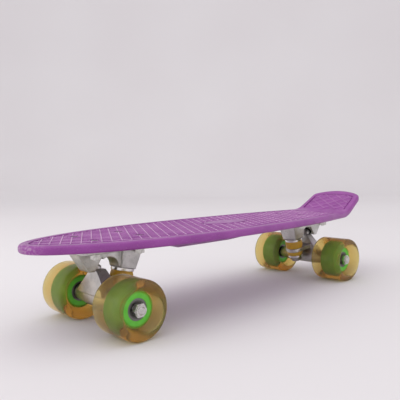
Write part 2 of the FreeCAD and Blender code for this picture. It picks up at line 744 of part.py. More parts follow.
def grooved_ring(name, inside, outside, low, high, middle):
    """A bearing ring with its ball track."""
    blank = ring(name + "_blank", inside, outside, low, high)
    track = bind(doc.addObject("Part::Torus", name + "_track"), Radius1="ball_circle",
                 Radius2="ball_radius + ball_clearance")
    track.Placement = upright(z=middle)
    return cut(name, blank, track)


def both_bearings(name, make):
    """The same piece in the inner and in the outer bearing of a wheel."""
    members = []
    for number, sign in enumerate(("", "-")):
        low, high = ((BEARING_IN, BEARING_OUT), ("-(%s)" % BEARING_OUT, "-(%s)" % BEARING_IN))[number]
        members += make("%s_%d" % (name, number), low, high, sign + BEARING_MIDDLE)
    return members


def make_outer_rings(name, low, high, middle):
    return [grooved_ring(name, "outer_ring_shoulder", "bearing_outside", low, high, middle)]


def make_inner_rings(name, low, high, middle):
    return [grooved_ring(name, "bearing_bore", "inner_ring_shoulder", low, high, middle)]


def make_shields(name, low, high, middle):
    first = ring(name + "_a", "shield_bore", "outer_ring_shoulder", low + " + shield_inset",
                 low + " + shield_inset + shield_thickness")
    second = ring(name + "_b", "shield_bore", "outer_ring_shoulder",
                  high + " - shield_inset - shield_thickness", high + " - shield_inset")
    return [first, second]


def ball_spots(middle):
    """Where the balls of one bearing sit, each frame with its X pointing out from the axle."""
    out = upright("ball_circle", "0", middle)
    return [turned_by((0, 0, 1), 360 * index / BALLS) * out for index in range(BALLS)]


def make_balls(name, low, high, middle):
    balls = []
    for index, spot in enumerate(ball_spots(middle)):
        ball = bind(doc.addObject("Part::Sphere", "%s_ball_%d" % (name, index)),
                    Radius="ball_radius")
        ball.Placement = spot
        balls.append(ball)
    return balls


def make_cages(name, low, high, middle):
    """A ring between the races with a round window for each ball."""
    blank = ring(name + "_blank", "ball_circle - cage_wall / 2", "ball_circle + cage_wall / 2",
                 middle + " - cage_width / 2", middle + " + cage_width / 2")
    through = upright("-cage_wall * 2") * turned_by((0, 1, 0), 90)
    windows = [cylinder("%s_window_%d" % (name, index), "ball_radius + ball_clearance",
                        "cage_wall * 4", spot * through)
               for index, spot in enumerate(ball_spots(middle))]
    return [cut(name, blank, fused(name + "_windows", windows))]


for end_name, end in ENDS:
    shared = {"axle_nuts": [], "speed_washers": [], "bearing_spacers": [], "bearing_inner_rings": []}
    for side_name, side in SIDES:
        place = wheel_place(end, side)
        wheel = "%s_%s_" % (end_name, side_name)
        finished(wheel + "tyre", make_tyre(wheel + "tyre"), place)
        finished(wheel + "core", make_core(wheel + "core"), place)
        for piece, make in (("bearing_outer_rings", make_outer_rings),
                            ("bearing_shields", make_shields), ("bearing_balls", make_balls),
                            ("bearing_cages", make_cages)):
            label = wheel + piece
            finished(label, group(label, both_bearings(label, make)), place)
        inner = group(wheel + "inner_rings", both_bearings(wheel + "inner_rings", make_inner_rings))
        inner.Placement = place
        shared["bearing_inner_rings"].append(inner)
        spacer = ring(wheel + "spacer", "bearing_bore", "bearing_bore + spacer_wall",
                      "-" + BEARING_IN, BEARING_IN)
        spacer.Placement = place
        shared["bearing_spacers"].append(spacer)
        for number, low in enumerate((BEARING_OUT, "-(%s) - washer_thickness" % BEARING_OUT)):
            washer = ring(wheel + "washer_%d" % number, "bearing_bore", "washer_radius", low,
                          low + " + washer_thickness")
            washer.Placement = place
            shared["speed_washers"].append(washer)
        foot = upright(z=BEARING_OUT + " + washer_thickness")
        hexagonal = "axle_nut_height - axle_nut_collar"
        blank = hexagon(wheel + "nut_blank", "axle_nut_flats", hexagonal, foot)
        collar = cylinder(wheel + "nut_collar", "axle_nut_flats / 2 - collar_step",
                          "axle_nut_height", foot)
        bore = cylinder(wheel + "nut_bore", "bearing_bore", "axle_nut_height", foot)
        nut = cut(wheel + "nut", fused(wheel + "nut_body", [blank, collar]), bore)
        nut.Placement = place
        shared["axle_nuts"].append(nut)
    for piece, members in shared.items():
        label = "%s_%s" % (end_name, piece)
        finished(label, group(label, members))

# ---------------------------------------------------------------- check and write

doc.recompute()
faults = []
for thing in doc.Objects:
    if "Invalid" in thing.State or "Error" in thing.State:
        faults.append("%s: %s" % (thing.Label, thing.State))
for node in nodes:
    if node.Shape.isNull() or not node.Shape.isValid():
        faults.append("%s: bad shape" % node.Label)
if faults:
    raise RuntimeError("; ".join(faults))

os.makedirs("parts", exist_ok=True)
for node in nodes:
    node.Shape.exportStep("parts/%s.step" % node.Label)
    print("%-32s %2d solid  %10.2f mm3" % (node.Label, len(node.Shape.Solids), node.Shape.Volume))
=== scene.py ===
import json
import math
import bmesh
import bpy
import numpy as np
from mathutils import Matrix, Vector
from mathutils.geometry import delaunay_2d_cdt


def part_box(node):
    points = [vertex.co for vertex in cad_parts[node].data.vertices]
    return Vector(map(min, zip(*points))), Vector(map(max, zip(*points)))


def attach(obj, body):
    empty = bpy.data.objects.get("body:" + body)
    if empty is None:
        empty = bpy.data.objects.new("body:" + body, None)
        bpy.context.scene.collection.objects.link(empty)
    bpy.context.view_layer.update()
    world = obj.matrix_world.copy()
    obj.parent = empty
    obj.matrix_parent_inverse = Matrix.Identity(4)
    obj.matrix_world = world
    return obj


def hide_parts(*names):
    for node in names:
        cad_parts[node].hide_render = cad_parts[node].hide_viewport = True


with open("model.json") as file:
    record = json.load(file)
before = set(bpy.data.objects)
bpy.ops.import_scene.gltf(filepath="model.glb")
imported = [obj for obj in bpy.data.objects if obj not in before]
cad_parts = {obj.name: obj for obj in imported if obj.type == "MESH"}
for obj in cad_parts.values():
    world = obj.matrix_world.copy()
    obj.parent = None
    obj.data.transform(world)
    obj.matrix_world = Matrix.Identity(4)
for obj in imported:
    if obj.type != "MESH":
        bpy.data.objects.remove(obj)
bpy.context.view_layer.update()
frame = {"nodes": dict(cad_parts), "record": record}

# ---------------------------------------------------------------- deck moulding
# The deck is one injection moulding in purple plastic: a rounded rim, a sunk waffle-ribbed tread
# with an oval pad in it, a kicked tail with a tread panel of its own, and a ribbed underside with
# a shallow boxed belly.  Shapes below are in millimetres.

MM = 0.001
deck_low, deck_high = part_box("deck")
TAIL_END, NOSE_END = deck_low.x / MM, deck_high.x / MM
MIDDLE, HALF_LENGTH = (NOSE_END + TAIL_END) / 2, (NOSE_END - TAIL_END) / 2
HALF_WIDTH = deck_high.y / MM
OVAL_SEAT = Vector(frame["record"]["mounts"][0]["pos_m"]) / MM
DECK_TOP = OVAL_SEAT.z
DECK_DEPTH = 9.0
PLATE_UNDER = 4.0
TREAD_FLOOR = 8.0
GROOVE_FLOOR = 7.2
KICK_START = TAIL_END + 63
KICK_RADIUS = 40.0
KICK_ANGLE = math.radians(30)
TAIL_HALF = 49.0
TAIL_CORNER = 17.0
TAIL_CORNER_SHAPE = ((0.2, 1.4), (0.42, 0.75), (0.8, 0.36))
KICK_HEADING = (0.995, 0.1)
SIDE_STATIONS = ((-0.54, 0.81), (-0.2, 0.945), (0.18, 1.0), (0.46, 0.945), (0.69, 0.79), (0.87, 0.54))
OUTLINE_STEP = 2.6
DECK_SHARP = math.radians(38)
MELT_DISTANCE = 0.02


def smooth_line(stations, start, finish, pieces=24):
    """Points along a curve of even bend through the stations, with its headings at the ends."""
    knots = np.array(stations, float)
    spans = np.linalg.norm(np.diff(knots, axis=0), axis=1)
    count = len(knots)
    system = np.eye(count)
    wanted = np.zeros((count, 2))
    wanted[0], wanted[-1] = start, finish
    for i in range(1, count - 1):
        before, after = spans[i - 1], spans[i]
        system[i, i - 1:i + 2] = after, 2 * (before + after), before
        wanted[i] = 3 * (before * (knots[i + 1] - knots[i]) / after
                         + after * (knots[i] - knots[i - 1]) / before)
    headings = np.linalg.solve(system, wanted)
    line = []
    for i, span in enumerate(spans):
        for u in np.linspace(0, 1, pieces, endpoint=False):
            line.append((1 + 2 * u) * (1 - u) ** 2 * knots[i] + u * (1 - u) ** 2 * span * headings[i]
                        + u * u * (3 - 2 * u) * knots[i + 1] + u * u * (u - 1) * span * headings[i + 1])
    return np.array(line + [knots[-1]])


def evenly_spaced(line, step):
    along = np.concatenate([[0], np.cumsum(np.linalg.norm(np.diff(line, axis=0), axis=1))])
    marks = np.linspace(0, along[-1], max(2, round(along[-1] / step) + 1))
    return np.column_stack([np.interp(marks, along, line[:, axis]) for axis in (0, 1)])


def deck_outline():
    """The deck's edge seen from above, as a closed run of points from the tail's middle."""
    corner_end, corner_turn, corner_start = [(TAIL_END + TAIL_CORNER * back, TAIL_HALF - TAIL_CORNER * inward)
                                             for back, inward in TAIL_CORNER_SHAPE]
    crown = (corner_end[0] - TAIL_END) / corner_end[1] ** 2
    across = np.linspace(0, corner_end[1], 12)
    tail_end = np.column_stack([TAIL_END + crown * across ** 2, across])
    sides = [corner_start, (KICK_START, TAIL_HALF)]
    sides += [(MIDDLE + along * HALF_LENGTH, out * HALF_WIDTH) for along, out in SIDE_STATIONS]
    leaving = np.array((2 * crown * corner_end[1], 1)) / math.hypot(2 * crown * corner_end[1], 1)
    turn = smooth_line([corner_end, corner_turn, corner_start], leaving, KICK_HEADING)
    side = smooth_line(sides + [(NOSE_END, 0)], KICK_HEADING, (0, -1))
    half = evenly_spaced(np.vstack([tail_end[:-1], turn[:-1], side]), OUTLINE_STEP)
    return np.vstack([half, half[-2:0:-1] * (1, -1)])


def drawn_in(loop, margin):
    """A closed loop moved to its inner side by a margin."""
    heading = np.roll(loop, -1, axis=0) - np.roll(loop, 1, axis=0)
    heading /= np.linalg.norm(heading, axis=1)[:, None]
    return loop + margin * np.column_stack([heading[:, 1], -heading[:, 0]])


def on_deck(x, y, height):
    """A point of the flat deck, carried up the kicked tail: height is above the underside."""
    def rise(radius, level):
        run = KICK_START - x
        if run <= 0:
            return level
        bend = radius * math.sin(KICK_ANGLE)
        arc = radius - math.sqrt(radius ** 2 - min(run, bend) ** 2)
        return level + arc + max(0, run - bend) * math.tan(KICK_ANGLE)
    low = rise(KICK_RADIUS + DECK_DEPTH, 0)
    high = rise(KICK_RADIUS, DECK_DEPTH)
    return Vector((x, y, DECK_TOP - DECK_DEPTH + low + height / DECK_DEPTH * (high - low)))


def inside(loop, points):
    """Which of the points a closed loop holds."""
    points = np.atleast_2d(points)
    held = np.zeros(len(points), bool)
    for (x0, y0), (x1, y1) in zip(loop, np.roll(loop, -1, axis=0)):
        if y0 != y1:
            crosses = (points[:, 1] < y0) != (points[:, 1] < y1)
            held ^= crosses & (points[:, 0] < x0 + (points[:, 1] - y0) * (x1 - x0) / (y1 - y0))
    return held


def linked_object(name, data):
    made = bpy.data.objects.new(name, data)
    bpy.context.scene.collection.objects.link(made)
    return made


def join_rings(mesh, rings, closed=False):
    """Faces between each ring of vertices and the next, and from the last to the first if closed."""
    faces = []
    for lower, upper in zip(rings, rings[1:] + rings[:1] if closed else rings[1:]):
        for i in range(len(lower)):
            j = (i + 1) % len(lower)
            faces.append(mesh.faces.new((lower[i], lower[j], upper[j], upper[i])))
    return faces


class Moulding:
    """Collects the skins of one moulding, each a run of faces over points laid on the deck."""

    def __init__(self):
        self.mesh = bmesh.new()

    def strip(self, loops):
        """Faces between rings of points; each ring is (loop, height)."""
        join_rings(self.mesh, [[self.mesh.verts.new(on_deck(x, y, height)) for x, y in loop]
                               for loop, height in loops])

    def plate(self, outer, holes, height, spacing=None):
        """A flat skin that fills a loop and leaves the holes, with points between to bend at."""
        loops = [outer, *holes]
        points = [Vector(p) for loop in loops for p in loop]
        edges, first = [], 0
        for loop in loops:
            edges += [(first + i, first + (i + 1) % len(loop)) for i in range(len(loop))]
            first += len(loop)
        if spacing:
            low, high = outer.min(0), outer.max(0)
            grid = np.array([(x, y) for x in np.arange(low[0], high[0], spacing)
                             for y in np.arange(low[1], high[1], spacing)])
            grid = grid[inside(drawn_in(outer, spacing / 2), grid)]
            for hole in holes:
                grid = grid[~inside(drawn_in(hole, -spacing / 2), grid)]
            points += [Vector(p) for p in grid]
        places, _, faces, *_ = delaunay_2d_cdt(points, edges, [], 0, 0.001)
        middles = np.array([sum((places[i] for i in face), Vector((0, 0))) / 3 for face in faces])
        kept = inside(outer, middles)
        for hole in holes:
            kept &= ~inside(hole, middles)
        corners = [self.mesh.verts.new(on_deck(p.x, p.y, height)) for p in places]
        for face, keep in zip(faces, kept):
            if keep:
                self.mesh.faces.new([corners[i] for i in face])
        bmesh.ops.delete(self.mesh, geom=[v for v in corners if not v.link_faces], context="VERTS")

    def tube(self, rings):
        """A closed skin along matching rings of (x, y, height), with an end face at each end."""
        rings = [[self.mesh.verts.new(on_deck(*place)) for place in ring] for ring in rings]
        sides = join_rings(self.mesh, rings)
        self.mesh.faces.new(rings[0][::-1])
        self.mesh.faces.new(rings[-1])
        return sides

    def bar(self, line, sections, finish=0):
        """A closed bar along a line, from its (offset, height) corners at each point; finish is
        the material of the sides that reach the top of a tread rib."""
        heading = np.array(line[-1], float) - line[0]
        across = np.array((-heading[1], heading[0])) / np.linalg.norm(heading)
        sides = self.tube([[(*(point + across * offset), height) for offset, height in section]
                           for point, section in zip(line, sections)])
        heights = [height for _, height in sections[0]]
        for index, face in enumerate(sides):
            corner = index % len(heights)
            lowest = min(heights[corner], heights[(corner + 1) % len(heights)])
            # Faces at a rib's top take the paler finish: wear together with a painted highlight.
            face.material_index = finish if lowest >= RIB_TOP - WEAR_AND_HIGHLIGHT_DEPTH else 0

    def piece(self, name, finishes):
        bmesh.ops.remove_doubles(self.mesh, verts=self.mesh.verts, dist=MELT_DISTANCE)
        bmesh.ops.recalc_face_normals(self.mesh, faces=self.mesh.faces)
        bmesh.ops.scale(self.mesh, vec=(MM, MM, MM), verts=self.mesh.verts)
        mesh = bpy.data.meshes.new(name)
        self.mesh.to_mesh(mesh)
        self.mesh.free()
        mesh.shade_smooth()
        mesh.set_sharp_from_angle(angle=DECK_SHARP)
        for finish in finishes:
            mesh.materials.append(finish)
        return linked_object(name, mesh)


def eased_corner(before, corner, after, steps=7):
    """A round corner, from a point before it to a point after it."""
    shares = np.linspace(0, 1, steps)[:, None]
    return (1 - shares) ** 2 * before + 2 * shares * (1 - shares) * corner + shares ** 2 * after


def round_cornered(corners, radius):
    corners = [np.array(c, float) for c in corners]
    loop = []
    for before, corner, after in zip(corners[-1:] + corners[:-1], corners, corners[1:] + corners[:1]):
        back = corner + (before - corner) * radius / np.linalg.norm(before - corner)
        on = corner + (after - corner) * radius / np.linalg.norm(after - corner)
        loop.append(eased_corner(back, corner, on))
    return np.vstack(loop)


def oval(x, y, half_along, half_across, steps=96):
    turns = -np.linspace(0, 2 * math.pi, steps, endpoint=False)
    return np.column_stack([x + half_along * np.cos(turns), y + half_across * np.sin(turns)])


moulding = Moulding()
outline = deck_outline()
RIM_PROFILE = ((9.5, 4), (9.5, 0.8), (8.7, 0), (3.4, 0), (1.7, 0.4), (0.7, 1.2), (0.15, 2.4), (0, 3.6),
               (0.05, 5.2), (0.35, 6.5), (1.0, 7.6), (2.0, 8.45), (3.3, 8.9), (4.8, 9), (7.4, 9))
moulding.strip([(drawn_in(outline, margin), height) for margin, height in RIM_PROFILE])

# Tread panels: the long one from the nose to the kick, and the tail's own.
PANEL_MARGIN = 9.0
PANEL_END = KICK_START + 14
PANEL_TURN, PANEL_CORNER_REACH = 7, 8
panel = drawn_in(outline, PANEL_MARGIN)
panel = panel[panel[:, 0] > PANEL_END + PANEL_TURN]
panel_corner = np.array((PANEL_END, panel[0][1] - 0.6))
square_on = np.array((PANEL_END, panel_corner[1] - PANEL_CORNER_REACH))
panel = np.vstack([panel,
                   eased_corner(panel[-1], panel_corner * (1, -1), square_on * (1, -1))[1:],
                   eased_corner(square_on, panel_corner, panel[0])[:-1]])
TAIL_PANEL_SIDE, TAIL_PANEL_CORNER = ((50, 39), (14, 36), (9.5, 18)), 6
tail_corners = [(TAIL_END + back, half) for back, half in TAIL_PANEL_SIDE]
tail_corners += [(x, -y) for x, y in tail_corners[::-1]]
tail_panel = round_cornered(tail_corners, TAIL_PANEL_CORNER)[::-1]
PANEL_EDGE = ((0, 9), (0.5, 8.85), (0.8, 8.3), (0.9, GROOVE_FLOOR), (2.3, GROOVE_FLOOR), (2.8, TREAD_FLOOR))
OVAL_EDGE = ((-1.6, 9), (-0.6, 8.8), (-0.1, 8.2), (0, 6.9), (2.1, 6.9), (2.7, TREAD_FLOOR))
OVAL_HALF = (35.0, 17.0)
SKIN_SPACING, UNDER_SPACING = 4.0, 5.0


def clockwise(loop):
    area = np.sum(loop[:, 0] * np.roll(loop[:, 1], -1) - np.roll(loop[:, 0], -1) * loop[:, 1])
    return loop if area < 0 else loop[::-1]


panel, tail_panel = clockwise(panel), clockwise(tail_panel)
BOLT_SEAT_EDGE = ((6.6, TREAD_FLOOR), (6.3, 8.5), (5.9, 8.65), (5.3, 8.65), (4.95, 8.4), (4.9, 5.9),
                  (2.7, 5.6), (2.7, PLATE_UNDER))
BOLT_HEAD = 4.6 * MM
ENDS = ("front", "rear")
bolt_spots = []
for end in ENDS:
    low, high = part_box(end + "_deck_bolts")
    bolt_spots += [(x / MM, y / MM) for x in (low.x + BOLT_HEAD, high.x - BOLT_HEAD)
                   for y in (low.y + BOLT_HEAD, high.y - BOLT_HEAD)]

for around in (panel, tail_panel):
    moulding.strip([(drawn_in(around, margin), height) for margin, height in PANEL_EDGE])
moulding.plate(drawn_in(outline, RIM_PROFILE[-1][0]), [panel, tail_panel], DECK_DEPTH, SKIN_SPACING)
oval_rings = [(oval(OVAL_SEAT.x, 0, OVAL_HALF[0] + out, OVAL_HALF[1] + out), height)
              for out, height in OVAL_EDGE]
moulding.strip(oval_rings)
moulding.plate(oval_rings[0][0], [], DECK_DEPTH)
seat_rings = {spot: [(oval(*spot, radius, radius, 32), height) for radius, height in BOLT_SEAT_EDGE]
              for spot in bolt_spots}
for rings in seat_rings.values():
    moulding.strip(rings)
panel_floor = drawn_in(panel, PANEL_EDGE[-1][0])
tail_floor = drawn_in(tail_panel, PANEL_EDGE[-1][0])
moulding.plate(panel_floor, [oval_rings[-1][0]] + [rings[0][0] for rings in seat_rings.values()],
               TREAD_FLOOR)
moulding.plate(tail_floor, [], TREAD_FLOOR, SKIN_SPACING)
moulding.plate(drawn_in(outline, RIM_PROFILE[0][0]), [rings[-1][0] for rings in seat_rings.values()],
               PLATE_UNDER, UNDER_SPACING)

# Waffle ribs: two families at 60 degrees to the board, paler along their tops, partly from wear and partly as
# a painted highlight.
RIB_PITCH = 11.35
RIB_FIRST = 245.5
RIB_LEAN = math.radians(60)
# The band this deep under each rib's top takes the paler finish of wear and painted highlight.
RIB_TOP, WEAR_AND_HIGHLIGHT_DEPTH = 8.85, 0.25
RIB_REACH, RIB_MARK = 110, 0.5
SHORTEST_RIB, MARKS_PER_STATION = 6, 40
RIBS_CLEAR, RIBS_CLEAR_OF_BOLT = 2.9, 6.7
RIB_SECTION = ((-0.85, 7.8), (-0.52, 8.62), (-0.32, RIB_TOP), (0.32, RIB_TOP), (0.52, 8.62), (0.85, 7.8))


def tread_ribs(floor, section, clear_of, finish):
    """Ribs of both families wherever a panel's floor is open."""
    low, high = floor.min(0), floor.max(0)
    reach = high[1] / math.tan(RIB_LEAN) + RIB_PITCH
    starts = RIB_FIRST - RIB_PITCH * np.arange(math.ceil((RIB_FIRST - low[0] + reach) / RIB_PITCH))
    for start in np.concatenate([starts, RIB_FIRST + RIB_PITCH * np.arange(1, reach // RIB_PITCH + 4)]):
        for lean in (1, -1):
            way = np.array((math.cos(RIB_LEAN), lean * math.sin(RIB_LEAN)))
            marks = np.arange(-RIB_REACH, RIB_REACH, RIB_MARK)
            places = (start, 0) + marks[:, None] * way
            open_here = inside(floor, places)
            for loop in clear_of:
                open_here &= ~inside(loop, places)
            ends = np.flatnonzero(np.diff(np.concatenate([[False], open_here, [False]]).astype(int)))
            for begin, stop in ends.reshape(-1, 2):
                if stop - begin > SHORTEST_RIB:
                    count = 2 + (stop - begin) // MARKS_PER_STATION
                    stations = np.linspace(marks[begin], marks[stop - 1], count)
                    line = [(start, 0) + mark * way for mark in stations]
                    moulding.bar(line, [section] * len(line), finish)


around_oval = oval(OVAL_SEAT.x, 0, OVAL_HALF[0] + RIBS_CLEAR, OVAL_HALF[1] + RIBS_CLEAR)
around_bolts = [oval(*spot, RIBS_CLEAR_OF_BOLT, RIBS_CLEAR_OF_BOLT, 24) for spot in bolt_spots]
tail_section = tuple((offset * 1.5, height) for offset, height in RIB_SECTION)
tread_ribs(drawn_in(panel, RIBS_CLEAR), RIB_SECTION, [around_oval, *around_bolts], 1)
tread_ribs(drawn_in(tail_panel, RIBS_CLEAR), tail_section, [], 2)

# Underside: stiffening ribs, the pads that the trucks bolt to, and the boxed belly.
UNDER_RIB, RIB_DRAFT, RIB_SPACING = 1.2, 0.8, 4
RIB_ROOT = PLATE_UNDER + 0.2
MIDDLE_BAYS, END_BAYS, BAY_ROWS = 9, (216.0, 240.2, -216.0, -246.5), (-38.7, 0, 38.7)
PAST_EDGE, RIM_BITE = 80, 0.4
BELLY_FRONT, BELLY_REAR, BELLY_WIDE = 118.0, -40.0, 52.0
BELLY_DEPTH, BELLY_SLOPE, BELLY_RISE = 7.5, 12.0, 66.0
BELLY_WALL, BELLY_FOOT_WALL = 2.4, 2.4 * 0.7
PAD_HALF, PAD_CORNER, PAD_CHAMFER = (46.0, 30.0), 6, 0.5
pad_middles = [sum(x for x, y in bolt_spots[:4]) / 4, sum(x for x, y in bolt_spots[4:]) / 4]


def belly_share(x, y=0):
    """How much of its full depth the belly has reached at a place."""
    share = min((BELLY_FRONT - x) / BELLY_SLOPE, (x - BELLY_REAR) / BELLY_RISE,
                (BELLY_WIDE - abs(y)) / BELLY_SLOPE, 1)
    return max(share, 0)


def rib_foot(x, y):
    """How low a stiffening rib reaches: level with the rim, and down to the belly's foot within it."""
    return -BELLY_DEPTH * belly_share(x, y)


def stiffening_rib(start, stop):
    start, stop = np.array(start, float), np.array(stop, float)
    line = [start + (stop - start) * share
            for share in np.linspace(0, 1, 2 + round(np.linalg.norm(stop - start) / RIB_SPACING))]
    held = inside(drawn_in(outline, RIM_PROFILE[0][0] - RIM_BITE), line)
    line = [point for point, keep in zip(line, held) if keep]
    narrow = UNDER_RIB * RIB_DRAFT
    if len(line) > 1:
        moulding.bar(line, [((-UNDER_RIB, RIB_ROOT), (UNDER_RIB, RIB_ROOT),
                             (narrow, rib_foot(*point)), (-narrow, rib_foot(*point)))
                            for point in line])


middle_bay = pad_middles[0] - PAD_HALF[0]
bays = [middle_bay - 2 * middle_bay * bay / MIDDLE_BAYS for bay in range(MIDDLE_BAYS + 1)]
for x in [*bays, *END_BAYS]:
    stiffening_rib((x, -PAST_EDGE), (x, PAST_EDGE))
for y in BAY_ROWS:
    stiffening_rib((middle_bay, y), (-middle_bay, y))
    stiffening_rib((END_BAYS[0], y), (NOSE_END, y))
    stiffening_rib((END_BAYS[2], y), (TAIL_END, y))
for middle in pad_middles:
    rear_edge, front_edge, half = middle - PAD_HALF[0], middle + PAD_HALF[0], PAD_HALF[1]
    pad_corners = [(front_edge, half), (front_edge, -half), (rear_edge, -half), (rear_edge, half)]
    pad = clockwise(round_cornered(pad_corners, PAD_CORNER))
    pad_face = drawn_in(pad, PAD_CHAMFER)
    moulding.strip([(pad, RIB_ROOT), (pad, PAD_CHAMFER), (pad_face, 0)])
    moulding.plate(pad_face, [], 0)
    moulding.plate(pad, [], RIB_ROOT)
    for y in (-half, half):
        stiffening_rib((rear_edge, y), (front_edge, y))
    for x in (rear_edge, middle, front_edge):
        for side in (1, -1):
            stiffening_rib((x, side * half), (x, side * PAST_EDGE))

# The belly's wall is one rail down its left side, across its front and back up its right side,
# leaning in as it goes down; each station is (x, y, how far its lean runs along and across).
rail = [(x, BELLY_WIDE, 0, 1) for x in np.linspace(BELLY_REAR, BELLY_FRONT - 2 * BELLY_SLOPE, 24)]
rail += [(BELLY_FRONT, BELLY_WIDE, 1, 1), (BELLY_FRONT, 0, 1, 0)]
rail += [(x, -y, along, -across) for x, y, along, across in rail[-2::-1]]
rings = []
for x, y, along, across in rail:
    share = 1 if along else belly_share(x)
    lean, foot = BELLY_SLOPE * share, -BELLY_DEPTH * share
    wall = ((0, RIB_ROOT), (0, 0), (lean, foot), (lean + BELLY_FOOT_WALL, foot),
            (BELLY_WALL, 0), (BELLY_WALL, RIB_ROOT))
    rings.append([(x - along * inward, y - across * inward, height) for inward, height in wall])
moulding.tube(rings)

# Its finish: the same plastic three ways: plain, and paler on the rib tops of the tread and of the tail,
# partly for wear and partly as a painted highlight.


class Finish:
    """A node material on one Principled shader, built a node at a time."""

    def __init__(self, name, **values):
        self.material = bpy.data.materials.new(name)
        self.material.use_nodes = True
        self.tree = self.material.node_tree
        self.shader = self.tree.nodes["Principled BSDF"]
        self.place = self.node("TexCoord").outputs["Object"]
        for socket, value in values.items():
            self.shader.inputs[socket.replace("_", " ")].default_value = value

    def node(self, kind, links=(), **settings):
        made = self.tree.nodes.new("ShaderNode" + kind)
        for key, value in settings.items():
            if hasattr(made, key):
                setattr(made, key, value)
            else:
                made.inputs[key.replace("_", " ")].default_value = value
        for socket, source in dict(links).items():
            self.tree.links.new(source, made.inputs[socket])
        return made

    def noise(self, per_metre, detail=3.0, stretch=None):
        """Mottling from 0 to 1 with about that many patches to the metre."""
        source = self.place
        if stretch:
            source = self.node("Mapping", {"Vector": source}, Scale=stretch).outputs[0]
        return self.node("TexNoise", {"Vector": source}, Scale=per_metre, Detail=detail).outputs["Fac"]

    def ramp(self, value, *stops):
        """A value or colour for each position along a ramp."""
        made = self.node("ValToRGB", {"Fac": value})
        while len(made.color_ramp.elements) < len(stops):
            made.color_ramp.elements.new(0.5)
        for element, (position, colour) in zip(made.color_ramp.elements, stops):
            element.position = position
            element.color = (*colour, 1) if isinstance(colour, tuple) else (colour, colour, colour, 1)
        return made.outputs["Color"]

    def mix(self, share, first, second):
        made = self.node("Mix", data_type="RGBA")
        for index, value in ((0, share), (6, first), (7, second)):
            if isinstance(value, (tuple, float, int)):
                made.inputs[index].default_value = (*value, 1) if isinstance(value, tuple) else value
            else:
                self.tree.links.new(value, made.inputs[index])
        return made.outputs[2]

    def math(self, how, first, second):
        made = self.node("Math", operation=how)
        for index, value in enumerate((first, second)):
            if isinstance(value, (float, int)):
                made.inputs[index].default_value = value
            else:
                self.tree.links.new(value, made.inputs[index])
        return made.outputs[0]

    def paint(self, socket, source):
        self.tree.links.new(source, self.shader.inputs[socket])

    def relief(self, height, depth):
        """Bump of a depth in metres."""
        bump = self.node("Bump", {"Height": height}, Distance=depth)
        self.paint("Normal", bump.outputs["Normal"])


def purple_plastic(name, deep, light, scuff, scuffed_from):
    """Moulded plastic: slight mottling, a fine moulded grain, hairline scratches, and pale scuffs
    that thicken from scuffed_from, in metres along the board, to the nose."""
    finish = Finish(name, Specular_IOR_Level=0.4, Coat_Weight=0.2, Coat_Roughness=0.22)
    mottling = finish.ramp(finish.noise(38, 4), (0.35, 0.0), (0.68, 1.0))
    colour = finish.mix(mottling, deep, light)
    scratches = finish.noise(120, 6, (1.0, 14.0, 6.0))
    scratched = finish.ramp(scratches, (0.60, 0.0), (0.72, 0.5))
    specks = finish.ramp(finish.noise(900, 2), (0.66, 0.0), (0.74, 0.6))
    marked = finish.math("MAXIMUM", scratched, specks)
    along = finish.node("SeparateXYZ", {"Vector": finish.place}).outputs["X"]
    nose = finish.node("MapRange", {"Value": along}, From_Min=scuffed_from, From_Max=deck_high.x)
    rubs = finish.ramp(finish.noise(420, 6), (0.44, 0.0), (0.66, 1.0))
    rubbed = finish.math("MULTIPLY", nose.outputs[0], rubs)
    worn = finish.math("ADD", finish.math("MULTIPLY", marked, 0.35), finish.math("MULTIPLY", rubbed, 0.6))
    finish.paint("Base Color", finish.mix(worn, colour, scuff))
    finish.paint("Roughness", finish.ramp(finish.noise(90, 3), (0.3, 0.34), (0.7, 0.46)))
    ripples = finish.math("MULTIPLY", finish.noise(300, 2), 0.6)
    grain = finish.math("ADD", finish.noise(2200, 2), ripples)
    finish.relief(grain, 0.00007)
    return finish.material


deck = moulding.piece("deck_moulding", [purple_plastic(*look) for look in (
    ("moulded_purple_plastic", (0.255, 0.040, 0.275), (0.305, 0.056, 0.325), (0.60, 0.40, 0.57), 0.25),
    # The tread's rib tops are paler partly from wear and partly as a painted highlight where light catches
    # them.
    ("rib_tops_wear_and_painted_highlight", (0.45, 0.18, 0.46), (0.62, 0.35, 0.61), (0.80, 0.62, 0.77), 0.19),
    # The tail's rib tops carry a weaker painted highlight along with their wear.
    ("tail_rib_tops", (0.31, 0.085, 0.33), (0.40, 0.14, 0.41), (0.60, 0.40, 0.57), 0.25))])
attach(deck, "board")
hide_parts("deck")

# ---------------------------------------------------------------- deck bolts and nuts
# Countersunk cross-head machine screws, zinc plated, four through each baseplate into plain
# hexagon nuts.  They carry a little grime in patches.


def plated_steel(name, colour, roughness, grime=0.5, wear_scale=400):
    """Plated or ground steel with fine wear and grime lying in patches."""
    finish = Finish(name, Metallic=1.0, Specular_IOR_Level=0.5)
    patches = finish.ramp(finish.noise(wear_scale, 5), (0.42, 0.0), (0.75, 1.0))
    dirty = tuple(part * 0.35 for part in colour)
    finish.paint("Base Color", finish.mix(finish.math("MULTIPLY", patches, grime), colour, dirty))
    rough = finish.ramp(finish.noise(wear_scale * 2, 3), (0.3, roughness * 0.75), (0.75, roughness * 1.5))
    finish.paint("Roughness", rough)
    finish.relief(finish.noise(wear_scale * 6, 3), 0.00003)
    return finish.material


zinc_plate = plated_steel("zinc_plated_screws", (0.62, 0.61, 0.58), 0.28)


def dress(nodes, material):
    """Gives CAD nodes their finish."""
    for node in nodes:
        mesh = frame["nodes"][node].data
        mesh.materials.clear()
        mesh.materials.append(material)


dress([end + piece for end in ENDS for piece in ("_deck_bolts", "_deck_nuts")], zinc_plate)

# ---------------------------------------------------------------- truck castings
# Baseplate and hanger are sand-tumbled aluminium castings with soft edges.  The hanger's ring is
# clamped between the bushings and its nose turns in the baseplate's pivot cup.

CAST_VOXEL, CAST_SMOOTHING, CAST_THINNING = 0.00055, 5, 0.5


